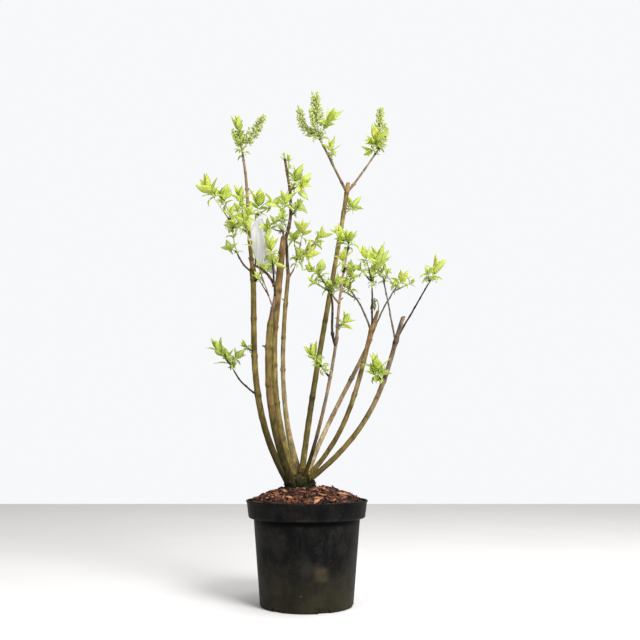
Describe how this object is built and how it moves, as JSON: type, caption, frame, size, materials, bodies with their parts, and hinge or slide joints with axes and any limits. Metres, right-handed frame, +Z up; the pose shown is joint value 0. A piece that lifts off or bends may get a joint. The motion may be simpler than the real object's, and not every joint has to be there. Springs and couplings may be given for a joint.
{
  "type": "potted lilac bush",
  "caption": "Young lilac bush in a round nursery pot: bare upright canes from one low crown, with sparse spring leaves and green flower panicles at their ends.",
  "frame": {"origin": "centre of the pot's flat underside", "axes": "+Z up along the plant; -Y is the front, where the label hangs to the left; +X to the right seen from the front"},
  "size_m": [0.5991, 0.355, 1.2621],
  "materials": {
    "pot_plastic": "dull black moulded plastic, dusty and scuffed near the foot",
    "bark_mulch": "rough red-brown bark chips over dark potting mix",
    "old_bark": "rough, dark and mossy",
    "cane_bark": "smooth olive-brown bark with pale pores and swollen nodes",
    "twig_bark": "smooth grey-brown young bark",
    "foliage": "soft yellow-green new leaves and green flower buds",
    "label_plastic": "blank, slightly translucent white"
  },
  "bodies": {
    "root": {"pot": "pot_plastic", "potting_soil": "bark_mulch", "root_crown": "old_bark", "plant_label": "label_plastic", "cane_1": "cane_bark", "cane_2": "cane_bark", "cane_3": "cane_bark", "cane_4": "cane_bark", "cane_5": "cane_bark", "cane_6": "cane_bark", "cane_7": "cane_bark", "cane_8": "cane_bark", "cane_9": "cane_bark", "bough_1_leader": "twig_bark", "bough_2_side": "twig_bark", "bough_4_leader": "twig_bark", "bough_4_top": "twig_bark", "bough_5_left": "twig_bark", "bough_5_right": "twig_bark", "bough_6_leader": "twig_bark", "bough_6_side": "twig_bark", "foliage_1_top": "foliage", "foliage_1_left": "foliage", "foliage_1_right": "foliage", "foliage_1_green": "foliage", "foliage_1_low": "foliage", "foliage_2_left": "foliage", "foliage_2_right": "foliage", "foliage_3_top": "foliage", "foliage_4_right": "foliage", "foliage_4_top": "foliage", "foliage_4_upper": "foliage", "foliage_4_mid": "foliage", "foliage_5_side": "foliage", "foliage_5_left_side": "foliage", "foliage_5_left_top": "foliage", "foliage_5_right_top": "foliage", "foliage_6_twig": "foliage", "foliage_6_side": "foliage", "foliage_6_top": "foliage", "foliage_6_upper": "foliage", "foliage_6_mid": "foliage", "foliage_6_low": "foliage", "foliage_7_right": "foliage", "foliage_8_left": "foliage", "foliage_8_top": "foliage", "foliage_9_left": "foliage", "foliage_9_right": "foliage", "foliage_9_low": "foliage"}
  },
  "joints": []
}
